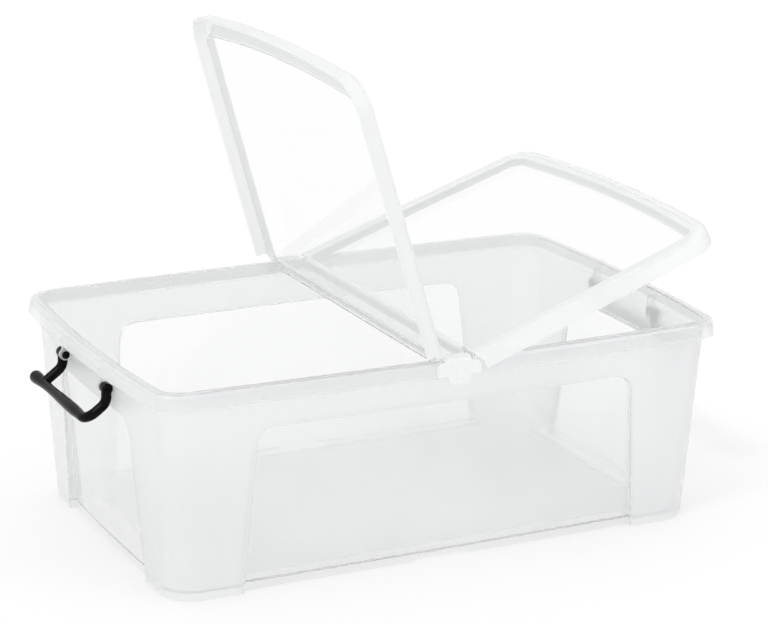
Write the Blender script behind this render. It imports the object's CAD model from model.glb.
import math
from typing import NamedTuple

import bpy
from bpy.props import FloatProperty, FloatVectorProperty, PointerProperty
from mathutils import Matrix, Vector

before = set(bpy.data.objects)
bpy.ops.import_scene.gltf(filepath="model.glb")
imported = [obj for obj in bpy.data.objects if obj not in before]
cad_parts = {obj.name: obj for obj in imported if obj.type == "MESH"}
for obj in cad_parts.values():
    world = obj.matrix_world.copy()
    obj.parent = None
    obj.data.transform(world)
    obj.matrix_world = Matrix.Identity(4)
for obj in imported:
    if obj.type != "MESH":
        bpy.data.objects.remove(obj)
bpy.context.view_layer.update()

bl_info = {
    "name": "Portable File Box",
    "version": (1, 0, 0),
    "blender": (4, 5, 0),
    "location": "View3D > Sidebar > File Box",
    "description": "Finishes and studio for a clear portable file box",
    "category": "Object",
}

MM = 0.001


# ---------------------------------------------------------------- settings

class PlasticLooks(bpy.types.PropertyGroup):
    """Colours and surface of the lid, the tub and the handles."""
    clear_tint: FloatVectorProperty(
        name="Clear tint", description="Tint of the clear lid and window panels",
        default=(0.98, 0.982, 0.982), size=3, subtype="COLOR", min=0, max=1)
    milk_colour: FloatVectorProperty(
        name="Milk colour", description="Colour that the haze of the plastic scatters",
        default=(0.93, 0.938, 0.942), size=3, subtype="COLOR", min=0, max=1)
    panel_roughness: FloatProperty(
        name="Panel roughness", description="Roughness of the lid's clear panels", default=0.04, min=0,
        max=1, subtype="FACTOR")
    panel_haze: FloatProperty(
        name="Panel haze", description="Milky share of the lid's clear panels", default=0.05, min=0, max=1,
        subtype="FACTOR")
    border_tint: FloatVectorProperty(
        name="Border tint", description="Tint of the satin border of the lid",
        default=(0.972, 0.973, 0.971), size=3, subtype="COLOR", min=0, max=1)
    border_roughness: FloatProperty(
        name="Border roughness", description="Roughness of the lid's satin border", default=0.38, min=0,
        max=1, subtype="FACTOR")
    border_haze: FloatProperty(
        name="Border haze", description="Milky share of the lid's border", default=0.55, min=0, max=1,
        subtype="FACTOR")
    wall_tint: FloatVectorProperty(
        name="Recess wall tint", description="Tint of the sloping walls round the lid's panels",
        default=(0.87, 0.88, 0.88), size=3, subtype="COLOR", min=0, max=1)
    wall_milk: FloatVectorProperty(
        name="Recess wall milk", description="Colour that the haze of the recess walls scatters",
        default=(0.80, 0.81, 0.81), size=3, subtype="COLOR", min=0, max=1)
    wall_haze: FloatProperty(
        name="Recess wall haze", description="Milky share that the recess walls have more than the border",
        default=0.08, min=0, max=1, subtype="FACTOR")
    frost_tint: FloatVectorProperty(
        name="Frost tint", description="Tint of the frosted frame of the tub",
        default=(0.96, 0.965, 0.968), size=3, subtype="COLOR", min=0, max=1)
    frost_roughness: FloatProperty(
        name="Frost roughness", description="Roughness of the tub's frosted frame", default=0.3, min=0,
        max=1, subtype="FACTOR")
    frost_haze: FloatProperty(
        name="Frost haze", description="Milky share of the tub's frosted frame", default=0.34, min=0, max=1,
        subtype="FACTOR")
    window_roughness: FloatProperty(
        name="Window roughness", description="Roughness of the tub's polished windows", default=0.06, min=0,
        max=1, subtype="FACTOR")
    window_haze: FloatProperty(
        name="Window haze", description="Milky share of the tub's polished windows", default=0.08, min=0,
        max=1, subtype="FACTOR")
    rim_tint: FloatVectorProperty(
        name="Rim tint", description="Tint of the doubled rim", default=(0.875, 0.883, 0.886), size=3,
        subtype="COLOR", min=0, max=1)
    rim_roughness: FloatProperty(
        name="Rim roughness", description="Roughness of the polished rim", default=0.08, min=0, max=1,
        subtype="FACTOR")
    rim_haze: FloatProperty(
        name="Rim haze", description="Milky share of the rim", default=0.26, min=0, max=1, subtype="FACTOR")
    rim_foot: FloatProperty(
        name="Rim foot", description="Lower edge of the rim above the ground", default=191.0 * MM,
        unit="LENGTH")
    handle_colour: FloatVectorProperty(
        name="Handle colour", description="Black of the two bail handles",
        default=(0.002, 0.002, 0.0022), size=3, subtype="COLOR", min=0, max=1)
    handle_roughness: FloatProperty(
        name="Handle roughness", description="Roughness of the handles where nothing has rubbed them",
        default=0.05, min=0, max=1, subtype="FACTOR")
    handle_rubbed: FloatProperty(
        name="Rubbed roughness", description="Roughness of the handles where they are rubbed", default=0.1,
        min=0, max=1, subtype="FACTOR")


class LidStance(bpy.types.PropertyGroup):
    """Where the two hinges are, and how the flaps stand at rest."""
    hinge_out: FloatProperty(
        name="Hinge out", description="Each hinge axis from the middle of the bar", default=16.0 * MM,
        unit="LENGTH")
    hinge_height: FloatProperty(
        name="Hinge height", description="Hinge axes above the ground", default=208.5 * MM, unit="LENGTH")
    left_lean: FloatProperty(
        name="Left lean", description="How far the left flap stands open", default=math.radians(73.9),
        subtype="ANGLE")
    right_lean: FloatProperty(
        name="Right lean", description="How far the right flap stands open", default=math.radians(19.4),
        subtype="ANGLE")


class StudioSetup(bpy.types.PropertyGroup):
    """Floor, sky and camera."""
    camera_place: FloatVectorProperty(
        name="Camera place", description="Where the camera stands",
        default=(-1.06976, -2.27629, 0.93405), size=3, subtype="TRANSLATION")
    camera_turn: FloatProperty(
        name="Camera turn", description="Heading of the camera, clockwise from +Y",
        default=math.radians(25.55), subtype="ANGLE")
    camera_dip: FloatProperty(
        name="Camera dip", description="How far the camera looks down", default=math.radians(16.59),
        subtype="ANGLE")
    camera_roll: FloatProperty(
        name="Camera roll", description="Roll of the camera", default=math.radians(0.23), subtype="ANGLE")
    camera_lens: FloatProperty(
        name="Lens", description="Focal length for a 36 mm sensor, in millimetres", default=124.17)
    camera_rise: FloatProperty(
        name="Lens rise", description="Vertical shift of the lens", default=0.019)
    floor_size: FloatProperty(
        name="Floor size", description="Side of the square floor", default=30.0, unit="LENGTH")
    floor_colour: FloatVectorProperty(
        name="Floor colour", description="Colour of the floor", default=(0.99, 0.99, 0.99), size=3,
        subtype="COLOR", min=0, max=1)
    sky_light: FloatProperty(
        name="Sky light", description="Strength with which the white studio lights the box", default=0.82,
        min=0)
    sky_seen: FloatProperty(
        name="Sky seen", default=1.0, min=0,
        description="Strength of the white studio where it is seen, mirrored or looked at through a wall")


class Melt(NamedTuple):
    """How one clear plastic takes the light."""
    ior: float
    milk_roughness: float
    bump: float
    cloud: float            # how much haze the clouds in the melt add or take away
    worn_roughness: float   # roughness that full wear adds
    lamp_share: tuple       # what each surface lets through of a lamp's light
    depth_colour: tuple
    depth_density: float


LID_MELT = Melt(
    ior=1.18, milk_roughness=0.2, bump=0.12, cloud=0.015, worn_roughness=0.08,
    lamp_share=(0.97, 0.97, 0.97, 1.0), depth_colour=(0.5, 0.54, 0.54, 1.0), depth_density=5.0)
TUB_MELT = Melt(
    ior=1.45, milk_roughness=0.22, bump=0.4, cloud=0.03, worn_roughness=0.06,
    lamp_share=(0.95, 0.95, 0.95, 1.0), depth_colour=(0.5, 0.53, 0.54, 1.0), depth_density=8.0)


class WallWindow(NamedTuple):
    """The polished window of two opposite walls, in metres."""
    along: str              # axis along the walls
    out: str                # axis that points out of the walls
    half_bottom: float      # half its width at the ground
    half_top: float         # half its width at its upper edge
    top: float
    corner: float
    wall: tuple             # distances from the middle over which the walls begin


WALL_WINDOWS = (
    WallWindow(along="X", out="Y", half_bottom=206 * MM, half_top=194 * MM, top=162 * MM, corner=18 * MM,
               wall=(145 * MM, 155 * MM)),
    WallWindow(along="Y", out="X", half_bottom=108 * MM, half_top=93 * MM, top=157 * MM, corner=20 * MM,
               wall=(240 * MM, 255 * MM)),
)

RIM_FADE = 0.6 * MM         # half the height over which frost turns into rim

HANDLE_SPECULAR = 0.08
HANDLE_BUMP = 0.2
RUBBED_PALER = 0.003        # how much paler rubbed black plastic is


class Lamp(NamedTuple):
    """A soft lamp a long way off."""
    name: str
    towards: tuple          # direction from the box to the lamp
    spread: float
    strength: float


LAMPS = (
    Lamp("key_lamp", towards=(-0.75, -0.35, 1.0), spread=math.radians(14.0), strength=0.72),
    Lamp("fill_lamp", towards=(0.8, -0.9, 0.9), spread=math.radians(12.0), strength=0.22),
)

THROUGH_BOUNCES = 32        # a look through the whole box crosses many walls
GLOSSY_BOUNCES = 24


# ---------------------------------------------------------------- node wiring

class Wiring:
    """Adds nodes to one tree, left to right over three rows, and links their sockets."""
    column_step = 180
    row_step = 200
    rows = 3

    def __init__(self, tree):
        self.tree = tree
        self.column = 0

    def add(self, kind, label="", **settings):
        node = self.tree.nodes.new(kind)
        node.label = label
        node.location = (self.column * self.column_step, -self.row_step * (self.column % self.rows))
        self.column += 1
        for name, value in settings.items():
            setattr(node, name, value)
        return node

    def put(self, socket, value):
        """Links a socket to another one, or sets its value."""
        if isinstance(value, bpy.types.NodeSocket):
            self.tree.links.new(value, socket)
        else:
            socket.default_value = value

    def math(self, operation, *values, clamp=False):
        node = self.add("ShaderNodeMath", operation=operation, use_clamp=clamp)
        for socket, value in zip(node.inputs, values):
            self.put(socket, value)
        return node.outputs[0]

    def noise(self, place, scale, detail=3.0, roughness=0.5, distortion=0.0, label=""):
        node = self.add("ShaderNodeTexNoise", label)
        self.put(node.inputs["Vector"], place)
        self.put(node.inputs["Scale"], scale)
        node.inputs["Detail"].default_value = detail
        node.inputs["Roughness"].default_value = roughness
        node.inputs["Distortion"].default_value = distortion
        return node.outputs["Fac"]

    def span(self, value, from_low, from_high, to_low=0.0, to_high=1.0):
        """Turns one range of a value smoothly into another."""
        node = self.add("ShaderNodeMapRange", clamp=True)
        node.interpolation_type = "SMOOTHSTEP"
        for name, number in zip(("Value", "From Min", "From Max", "To Min", "To Max"),
                                (value, from_low, from_high, to_low, to_high)):
            self.put(node.inputs[name], number)
        return node.outputs["Result"]

    def pick(self, mask, outside, inside):
        """One value where the mask is 0 and another where it is 1."""
        return self.span(mask, 0.0, 1.0, outside, inside)

    def pick_colour(self, mask, outside, inside):
        node = self.add("ShaderNodeMix", data_type="RGBA")
        colours = [socket for socket in node.inputs if socket.type == "RGBA"]
        self.put(node.inputs[0], mask)
        self.put(colours[0], outside)
        self.put(colours[1], inside)
        return [socket for socket in node.outputs if socket.type == "RGBA"][0]

    def corner_distance(self, first, second):
        """Length of two values at right angles, of which only what is above 0 counts."""
        first = self.math("MAXIMUM", first, 0.0)
        second = self.math("MAXIMUM", second, 0.0)
        squares = self.math(
            "ADD", self.math("MULTIPLY", first, first), self.math("MULTIPLY", second, second))
        return self.math("SQRT", squares)

    def group(self, tree, **values):
        node = self.add("ShaderNodeGroup", tree.name)
        node.node_tree = tree
        for name, value in values.items():
            self.put(node.inputs[name.replace("_", " ")], value)
        return node


def new_group(name, inputs, outputs):
    """An empty shader node group with its sockets, and the ends to wire."""
    tree = bpy.data.node_groups.new(name, "ShaderNodeTree")
    for label, kind, default in inputs:
        socket = tree.interface.new_socket(label, in_out="INPUT", socket_type=kind)
        if default is not None:
            socket.default_value = default
    for label, kind in outputs:
        tree.interface.new_socket(label, in_out="OUTPUT", socket_type=kind)
    wires = Wiring(tree)
    start = wires.add("NodeGroupInput")
    end = wires.add("NodeGroupOutput")
    return tree, wires, start.outputs, end.inputs


def opaque(colour):
    """A colour with the fourth channel that sockets want."""
    return (*colour, 1.0)


# ---------------------------------------------------------------- shared masks and skins

def window_shape_group():
    """1 inside a splayed wall window with rounded upper corners, 0 outside it."""
    tree, wires, given, made = new_group(
        "wall_window_shape",
        [("Along", "NodeSocketFloat", None), ("Height", "NodeSocketFloat", None),
         ("Half Bottom", "NodeSocketFloat", None), ("Half Top", "NodeSocketFloat", None),
         ("Top", "NodeSocketFloat", None), ("Corner", "NodeSocketFloat", None),
         ("Softness", "NodeSocketFloat", 3 * MM)],
        [("Inside", "NodeSocketFloat")])
    rise = wires.math("DIVIDE", given["Height"], given["Top"])
    splay = wires.math("SUBTRACT", given["Half Bottom"], given["Half Top"])
    half = wires.math("SUBTRACT", given["Half Bottom"], wires.math("MULTIPLY", splay, rise))
    past_side = wires.math("SUBTRACT", wires.math("ABSOLUTE", given["Along"]), half)
    past_side = wires.math("ADD", past_side, given["Corner"])
    past_top = wires.math("ADD", wires.math("SUBTRACT", given["Height"], given["Top"]), given["Corner"])
    round_part = wires.corner_distance(past_side, past_top)
    flat_part = wires.math("MINIMUM", wires.math("MAXIMUM", past_side, past_top), 0.0)
    distance = wires.math("SUBTRACT", wires.math("ADD", round_part, flat_part), given["Corner"])
    softened = wires.math("DIVIDE", distance, given["Softness"])
    wires.put(made["Inside"], wires.math("SUBTRACT", 0.5, softened, clamp=True))
    return tree


def closed_lid_group():
    """Finds the clear panel and the sloping recess wall of the closed lid, each 0 to 1."""
    tree, wires, given, made = new_group(
        "closed_lid_parts",
        [("Place", "NodeSocketVector", None), ("Half Length", "NodeSocketFloat", 284.4 * MM),
         ("Half Depth", "NodeSocketFloat", 185.9 * MM), ("End Bow", "NodeSocketFloat", 10 * MM),
         ("Side Bow", "NodeSocketFloat", 6.7 * MM), ("Corner", "NodeSocketFloat", 25 * MM),
         ("Panel Top", "NodeSocketFloat", 201.2 * MM), ("Wall Top", "NodeSocketFloat", 207.8 * MM)],
        [("Panel", "NodeSocketFloat"), ("Wall", "NodeSocketFloat")])
    # The masks change over about a millimetre, from the first to the second of these.
    outline_fade = (-0.5 * MM, 0.5 * MM)
    panel_fade = (-0.3 * MM, 0.6 * MM)
    wall_fade = (-0.6 * MM, 0.4 * MM)
    axes = wires.add("ShaderNodeSeparateXYZ")
    wires.put(axes.inputs[0], given["Place"])

    def past_edge(across, along, half, half_along, bow):
        """How far a place lies outside an edge that bows out in its middle."""
        share = wires.math("DIVIDE", along, half_along)
        fullness = wires.math("SUBTRACT", 1.0, wires.math("MULTIPLY", share, share))
        bulge = wires.math("MULTIPLY", fullness, bow)
        return wires.math("SUBTRACT", wires.math("ABSOLUTE", across), wires.math("ADD", half, bulge))

    past_end = past_edge(
        axes.outputs["X"], axes.outputs["Y"], given["Half Length"], given["Half Depth"], given["End Bow"])
    past_side = past_edge(
        axes.outputs["Y"], axes.outputs["X"], given["Half Depth"], given["Half Length"], given["Side Bow"])
    round_part = wires.corner_distance(
        wires.math("ADD", past_end, given["Corner"]), wires.math("ADD", past_side, given["Corner"]))
    outline = wires.math("SUBTRACT", round_part, given["Corner"])
    above_panel = wires.math("SUBTRACT", axes.outputs["Z"], given["Panel Top"])
    above_wall = wires.math("SUBTRACT", axes.outputs["Z"], given["Wall Top"])
    field = wires.span(outline, *outline_fade, 1.0, 0.0)
    low = wires.span(above_panel, *panel_fade, 1.0, 0.0)
    under_top = wires.span(above_wall, *wall_fade, 1.0, 0.0)
    wires.put(made["Panel"], wires.math("MULTIPLY", field, low))
    slope = wires.math("SUBTRACT", under_top, low, clamp=True)
    wires.put(made["Wall"], wires.math("MULTIPLY", field, slope))
    return tree


def moulded_skin_group():
    """Slow waviness and fine grain of a moulded skin, as a height in metres, and clouds in the melt."""
    tree, wires, given, made = new_group(
        "moulded_skin",
        [("Place", "NodeSocketVector", None), ("Wave", "NodeSocketFloat", 1.0),
         ("Grain", "NodeSocketFloat", 1.0)],
        [("Height", "NodeSocketFloat"), ("Cloud", "NodeSocketFloat")])
    wave_height = 1.2 * MM
    ripple_share = 0.2
    grain_height = 0.06 * MM
    cloud_fade = (0.3, 0.7)
    wave = wires.noise(given["Place"], scale=9.0, detail=1.0, label="slow waves")
    ripple = wires.noise(given["Place"], scale=60.0, detail=1.0, label="sink ripple")
    grain = wires.noise(given["Place"], scale=1400.0, detail=2.0, label="spark grain")
    cloud = wires.noise(given["Place"], scale=5.0, detail=3.0, distortion=0.6, label="melt cloud")
    wavy = wires.math("ADD", wave, wires.math("MULTIPLY", ripple, ripple_share))
    slow = wires.math("MULTIPLY", wires.math("MULTIPLY", wavy, given["Wave"]), wave_height)
    fine = wires.math("MULTIPLY", wires.math("MULTIPLY", grain, given["Grain"]), grain_height)
    wires.put(made["Height"], wires.math("ADD", slow, fine))
    wires.put(made["Cloud"], wires.span(cloud, *cloud_fade))
    return tree


def handling_wear_group():
    """Sparse fine scratches and rub marks, 0 to 1."""
    tree, wires, given, made = new_group(
        "handling_wear",
        [("Place", "NodeSocketVector", None), ("Scratch", "NodeSocketFloat", 1.0),
         ("Rub", "NodeSocketFloat", 1.0)],
        [("Wear", "NodeSocketFloat")])
    # Each run of scratches: its turn in radians, and how closely the noise is packed along each axis.
    scratch_runs = (
        ((0.5, 0.2, 0.5), (900.0, 14.0, 900.0)),
        ((-0.9, -0.36, -0.9), (14.0, 800.0, 40.0)),
    )
    scratch_fade = (0.74, 0.8)
    rub_fade = (0.52, 0.75)
    lines = []
    for turn, packing in scratch_runs:
        mapping = wires.add("ShaderNodeMapping", "scratch run")
        wires.put(mapping.inputs["Vector"], given["Place"])
        mapping.inputs["Rotation"].default_value = turn
        mapping.inputs["Scale"].default_value = packing
        streak = wires.noise(mapping.outputs["Vector"], scale=1.0, detail=1.0)
        lines.append(wires.span(streak, *scratch_fade))
    scratches = wires.math("MULTIPLY", wires.math("MAXIMUM", *lines), given["Scratch"])
    rub = wires.span(wires.noise(given["Place"], scale=22.0, detail=4.0, roughness=0.6), *rub_fade)
    rubbed = wires.math("MULTIPLY", rub, given["Rub"])
    wires.put(made["Wear"], wires.math("ADD", scratches, rubbed, clamp=True))
    return tree


def shared_groups():
    """The node groups, built once and then found by name."""
    makers = {
        "window": ("wall_window_shape", window_shape_group),
        "lid": ("closed_lid_parts", closed_lid_group),
        "skin": ("moulded_skin", moulded_skin_group),
        "wear": ("handling_wear", handling_wear_group),
    }
    return {key: bpy.data.node_groups.get(name) or make() for key, (name, make) in makers.items()}


# ---------------------------------------------------------------- plastics

def blank_material(name):
    """A material without nodes, and the wiring of its tree."""
    material = bpy.data.materials.new(name)
    material.use_nodes = True
    material.node_tree.nodes.clear()
    return material, Wiring(material.node_tree)


def bumped(wires, height, strength):
    """The surface direction after a height in metres has dented it."""
    bump = wires.add("ShaderNodeBump")
    bump.inputs["Strength"].default_value = strength
    wires.put(bump.inputs["Height"], height)
    return bump.outputs["Normal"]


def clear_share(wires, melt, tint, roughness, normal):
    """The part of the plastic that light passes through."""
    shader = wires.add("ShaderNodeBsdfPrincipled", "clear share")
    wires.put(shader.inputs["Base Color"], tint)
    wires.put(shader.inputs["Roughness"], roughness)
    shader.inputs["IOR"].default_value = melt.ior
    shader.inputs["Transmission Weight"].default_value = 1.0
    wires.put(shader.inputs["Normal"], normal)
    return shader.outputs[0]


def milky_share(wires, melt, colour, normal):
    """The part of the plastic that scatters light."""
    shader = wires.add("ShaderNodeBsdfPrincipled", "milky share")
    wires.put(shader.inputs["Base Color"], colour)
    shader.inputs["Roughness"].default_value = melt.milk_roughness
    shader.inputs["IOR"].default_value = melt.ior
    wires.put(shader.inputs["Normal"], normal)
    return shader.outputs[0]


def lamps_shine_through(wires, melt, surface):
    """Lets the light of lamps and of lit surfaces through a wall, which clear shaders hold back."""
    rays = wires.add("ShaderNodeLightPath").outputs
    passing = wires.math("MAXIMUM", rays["Is Shadow Ray"], rays["Is Diffuse Ray"])
    open_wall = wires.add("ShaderNodeBsdfTransparent")
    open_wall.inputs["Color"].default_value = melt.lamp_share
    mixed = wires.add("ShaderNodeMixShader", "lamps shine through")
    wires.put(mixed.inputs[0], passing)
    wires.put(mixed.inputs[1], surface)
    wires.put(mixed.inputs[2], open_wall.outputs[0])
    return mixed.outputs[0]


def pour(wires, melt, tint, milk_colour, roughness, haze, skin, wear):
    """Finishes a clear plastic from its colours, its roughness, its haze and the state of its skin."""
    worn = wires.math("MULTIPLY", wear.outputs["Wear"], melt.worn_roughness)
    roughness = wires.math("ADD", roughness, worn, clamp=True)
    cloud = wires.pick(skin.outputs["Cloud"], -melt.cloud, melt.cloud)
    haze = wires.math("ADD", haze, cloud, clamp=True)
    normal = bumped(wires, skin.outputs["Height"], melt.bump)
    body = wires.add("ShaderNodeMixShader", "clear to milky")
    wires.put(body.inputs[0], haze)
    wires.put(body.inputs[1], clear_share(wires, melt, tint, roughness, normal))
    wires.put(body.inputs[2], milky_share(wires, melt, milk_colour, normal))
    depth = wires.add("ShaderNodeVolumeAbsorption", "thick plastic is darker")
    depth.inputs["Color"].default_value = melt.depth_colour
    depth.inputs["Density"].default_value = melt.depth_density
    output = wires.add("ShaderNodeOutputMaterial")
    wires.put(output.inputs["Surface"], lamps_shine_through(wires, melt, body.outputs[0]))
    wires.put(output.inputs["Volume"], depth.outputs[0])


def clear_lid_plastic(name, looks, groups, hinge, turn):
    """Clear polypropylene of one lid piece: polished panel, hazy border, greyer recess wall."""
    material, wires = blank_material(name)
    place = wires.add("ShaderNodeTexCoord").outputs["Object"]
    closed = wires.add("ShaderNodeVectorRotate", "as it lies closed", rotation_type="Y_AXIS")
    wires.put(closed.inputs["Vector"], place)
    closed.inputs["Center"].default_value = hinge
    closed.inputs["Angle"].default_value = turn
    parts = wires.group(groups["lid"], Place=closed.outputs[0])
    panel = parts.outputs["Panel"]
    wall = parts.outputs["Wall"]
    skin = wires.group(groups["skin"], Place=place, Wave=0.3, Grain=0.1)
    wear = wires.group(groups["wear"], Place=place, Scratch=0.5, Rub=0.35)
    tint = wires.pick_colour(panel, opaque(looks.border_tint), opaque(looks.clear_tint))
    tint = wires.pick_colour(wall, tint, opaque(looks.wall_tint))
    milk_colour = wires.pick_colour(wall, opaque(looks.milk_colour), opaque(looks.wall_milk))
    roughness = wires.pick(panel, looks.border_roughness, looks.panel_roughness)
    haze = wires.pick(panel, looks.border_haze, looks.panel_haze)
    haze = wires.math("ADD", haze, wires.math("MULTIPLY", wall, looks.wall_haze))
    pour(wires, LID_MELT, tint, milk_colour, roughness, haze, skin, wear)
    return material


def frosted_tub_plastic(looks, groups):
    """Frosted polypropylene of the tub: polished clear in its four windows, hazy but smooth on its rim."""
    material, wires = blank_material("frosted_tub_plastic")
    place = wires.add("ShaderNodeTexCoord").outputs["Object"]
    axes = wires.add("ShaderNodeSeparateXYZ")
    wires.put(axes.inputs[0], place)
    height = axes.outputs["Z"]
    clear_parts = []
    for window in WALL_WINDOWS:
        shape = wires.group(
            groups["window"], Along=axes.outputs[window.along], Height=height,
            Half_Bottom=window.half_bottom, Half_Top=window.half_top, Top=window.top, Corner=window.corner)
        on_wall = wires.span(wires.math("ABSOLUTE", axes.outputs[window.out]), *window.wall)
        clear_parts.append(wires.math("MULTIPLY", shape.outputs["Inside"], on_wall))
    frost = wires.math("SUBTRACT", 1.0, wires.math("MAXIMUM", *clear_parts), clamp=True)
    rim = wires.span(height, looks.rim_foot - RIM_FADE, looks.rim_foot + RIM_FADE)
    skin = wires.group(groups["skin"], Place=place, Wave=1.0, Grain=frost)
    wear = wires.group(groups["wear"], Place=place, Scratch=0.6, Rub=0.6)
    tint = wires.pick_colour(frost, opaque(looks.clear_tint), opaque(looks.frost_tint))
    tint = wires.pick_colour(rim, tint, opaque(looks.rim_tint))
    roughness = wires.pick(frost, looks.window_roughness, looks.frost_roughness)
    roughness = wires.pick(rim, roughness, looks.rim_roughness)
    haze = wires.pick(frost, looks.window_haze, looks.frost_haze)
    haze = wires.pick(rim, haze, looks.rim_haze)
    pour(wires, TUB_MELT, tint, opaque(looks.milk_colour), roughness, haze, skin, wear)
    return material


def black_handle_plastic(looks, groups):
    """Glossy black of the bail handles."""
    material, wires = blank_material("black_handle_plastic")
    place = wires.add("ShaderNodeTexCoord").outputs["Object"]
    skin = wires.group(groups["skin"], Place=place, Wave=0.25, Grain=0.2)
    wear = wires.group(groups["wear"], Place=place, Scratch=0.8, Rub=1.0).outputs["Wear"]
    rubbed_colour = [channel + RUBBED_PALER for channel in looks.handle_colour]
    colour = wires.pick_colour(wear, opaque(looks.handle_colour), opaque(rubbed_colour))
    shader = wires.add("ShaderNodeBsdfPrincipled")
    wires.put(shader.inputs["Base Color"], colour)
    wires.put(shader.inputs["Roughness"], wires.pick(wear, looks.handle_roughness, looks.handle_rubbed))
    shader.inputs["Specular IOR Level"].default_value = HANDLE_SPECULAR
    wires.put(shader.inputs["Normal"], bumped(wires, skin.outputs["Height"], HANDLE_BUMP))
    output = wires.add("ShaderNodeOutputMaterial")
    wires.put(output.inputs["Surface"], shader.outputs[0])
    return material


def dress(node_name, material):
    """Puts a material on a node of the frame."""
    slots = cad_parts[node_name].material_slots
    if not slots:
        raise RuntimeError(f"{node_name} has no material slot")
    for slot in slots:
        slot.material = material


# ---------------------------------------------------------------- operators

class FILEBOX_OT_tub(bpy.types.Operator):
    """Give the tub its frosted frame and its clear windows"""
    bl_idname = "filebox.tub"
    bl_label = "Tub"

    def execute(self, context):
        dress("tub", frosted_tub_plastic(context.scene.filebox_looks, shared_groups()))
        return {"FINISHED"}


class FILEBOX_OT_lid(bpy.types.Operator):
    """Give the centre bar and the two flaps their clear plastic"""
    bl_idname = "filebox.lid"
    bl_label = "Lid"

    def execute(self, context):
        looks = context.scene.filebox_looks
        stance = context.scene.filebox_stance
        for node_name, side, lean in (
            ("lid_centre_bar", 0.0, 0.0),
            ("left_lid_flap", -1.0, stance.left_lean),
            ("right_lid_flap", 1.0, stance.right_lean),
        ):
            hinge = (side * stance.hinge_out, 0.0, stance.hinge_height)
            material = clear_lid_plastic(f"{node_name}_plastic", looks, shared_groups(), hinge, side * lean)
            dress(node_name, material)
        return {"FINISHED"}


class FILEBOX_OT_handles(bpy.types.Operator):
    """Give both bail handles their glossy black plastic"""
    bl_idname = "filebox.handles"
    bl_label = "Bail handles"

    def execute(self, context):
        material = black_handle_plastic(context.scene.filebox_looks, shared_groups())
        for node_name in ("left_handle", "right_handle"):
            dress(node_name, material)
        return {"FINISHED"}


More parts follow.
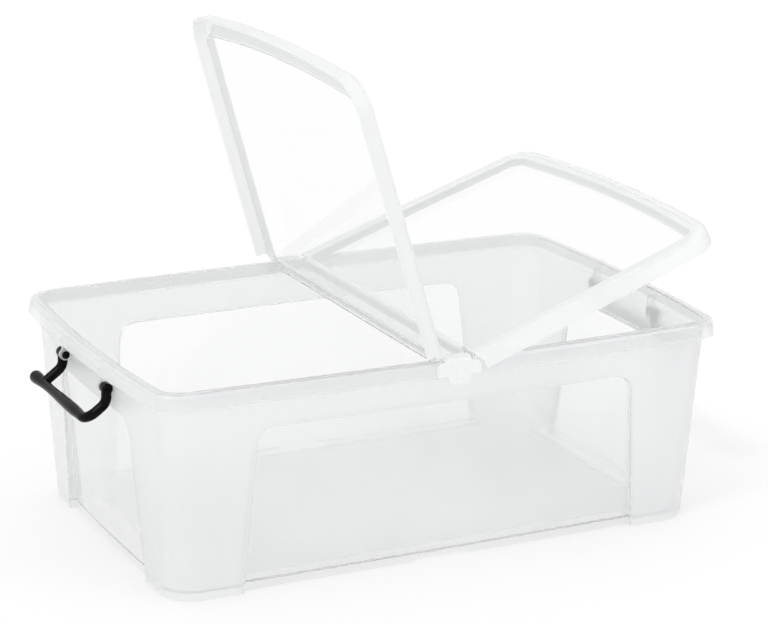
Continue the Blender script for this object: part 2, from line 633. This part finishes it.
class FILEBOX_OT_studio(bpy.types.Operator):
    """Lay the floor, hang the lamps and set up the camera"""
    bl_idname = "filebox.studio"
    bl_label = "Studio"

    def execute(self, context):
        scene = context.scene
        setup = scene.filebox_studio
        self.lay_floor(setup)
        self.hang_lamps()
        self.light_sky(scene, setup)
        self.place_camera(scene, setup)
        scene.view_settings.view_transform = "Standard"
        scene.cycles.max_bounces = THROUGH_BOUNCES
        scene.cycles.transmission_bounces = THROUGH_BOUNCES
        scene.cycles.transparent_max_bounces = THROUGH_BOUNCES
        scene.cycles.glossy_bounces = GLOSSY_BOUNCES
        return {"FINISHED"}

    @staticmethod
    def lay_floor(setup):
        bpy.ops.mesh.primitive_plane_add(size=setup.floor_size, location=(0, 0, 0))
        floor = bpy.context.object
        floor.name = "studio_floor"
        material, wires = blank_material("pale_floor")
        shader = wires.add("ShaderNodeBsdfPrincipled")
        shader.inputs["Base Color"].default_value = opaque(setup.floor_colour)
        shader.inputs["Roughness"].default_value = 0.9
        shader.inputs["Specular IOR Level"].default_value = 0.0
        output = wires.add("ShaderNodeOutputMaterial")
        wires.put(output.inputs["Surface"], shader.outputs[0])
        floor.data.materials.append(material)

    @staticmethod
    def hang_lamps():
        for lamp in LAMPS:
            bpy.ops.object.light_add(type="SUN", location=lamp.towards)
            hung = bpy.context.object
            hung.name = lamp.name
            hung.data.angle = lamp.spread
            hung.data.energy = lamp.strength
            hung.rotation_euler = (-Vector(lamp.towards)).to_track_quat("-Z", "Y").to_euler()

    @staticmethod
    def light_sky(scene, setup):
        world = bpy.data.worlds.new("white_studio")
        world.use_nodes = True
        scene.world = world
        world.node_tree.nodes.clear()
        wires = Wiring(world.node_tree)
        rays = wires.add("ShaderNodeLightPath").outputs
        seen = wires.math("MAXIMUM", rays["Is Camera Ray"], rays["Is Glossy Ray"])
        seen = wires.math("MAXIMUM", seen, rays["Is Transmission Ray"])
        background = wires.add("ShaderNodeBackground")
        background.inputs["Color"].default_value = (1, 1, 1, 1)
        wires.put(background.inputs["Strength"], wires.pick(seen, setup.sky_light, setup.sky_seen))
        output = wires.add("ShaderNodeOutputWorld")
        wires.put(output.inputs["Surface"], background.outputs[0])

    @staticmethod
    def place_camera(scene, setup):
        bpy.ops.object.camera_add(location=setup.camera_place)
        camera = bpy.context.object
        camera.name = "studio_camera"
        turn = setup.camera_turn
        dip = setup.camera_dip
        roll = setup.camera_roll
        forward = Vector((math.sin(turn) * math.cos(dip), math.cos(turn) * math.cos(dip), -math.sin(dip)))
        level = forward.cross(Vector((0, 0, 1))).normalized()
        upright = level.cross(forward)
        right = level * math.cos(roll) + upright * math.sin(roll)
        up = upright * math.cos(roll) - level * math.sin(roll)
        facing = Matrix((right, up, -forward)).transposed()
        camera.rotation_euler = facing.to_euler()
        camera.data.sensor_width = 36.0
        camera.data.lens = setup.camera_lens
        camera.data.shift_y = setup.camera_rise
        camera.data.clip_end = 100.0
        scene.camera = camera


class FILEBOX_PT_panel(bpy.types.Panel):
    """Lists the steps that dress the box, and its settings"""
    bl_idname = "FILEBOX_PT_panel"
    bl_label = "Portable File Box"
    bl_space_type = "VIEW_3D"
    bl_region_type = "UI"
    bl_category = "File Box"

    def draw(self, context):
        scene = context.scene
        for step in STEPS:
            self.layout.operator(step.bl_idname)
        for settings in (scene.filebox_looks, scene.filebox_stance, scene.filebox_studio):
            for name in settings.__annotations__:
                self.layout.prop(settings, name)


STEPS = (FILEBOX_OT_tub, FILEBOX_OT_lid, FILEBOX_OT_handles, FILEBOX_OT_studio)
CLASSES = (PlasticLooks, LidStance, StudioSetup, *STEPS, FILEBOX_PT_panel)


def register():
    for cls in CLASSES:
        bpy.utils.register_class(cls)
    bpy.types.Scene.filebox_looks = PointerProperty(type=PlasticLooks)
    bpy.types.Scene.filebox_stance = PointerProperty(type=LidStance)
    bpy.types.Scene.filebox_studio = PointerProperty(type=StudioSetup)


def unregister():
    del bpy.types.Scene.filebox_studio
    del bpy.types.Scene.filebox_stance
    del bpy.types.Scene.filebox_looks
    for cls in reversed(CLASSES):
        bpy.utils.unregister_class(cls)


def main():
    register()
    bpy.ops.filebox.tub()
    bpy.ops.filebox.lid()
    bpy.ops.filebox.handles()
    bpy.ops.filebox.studio()


if __name__ == "__main__":
    main()
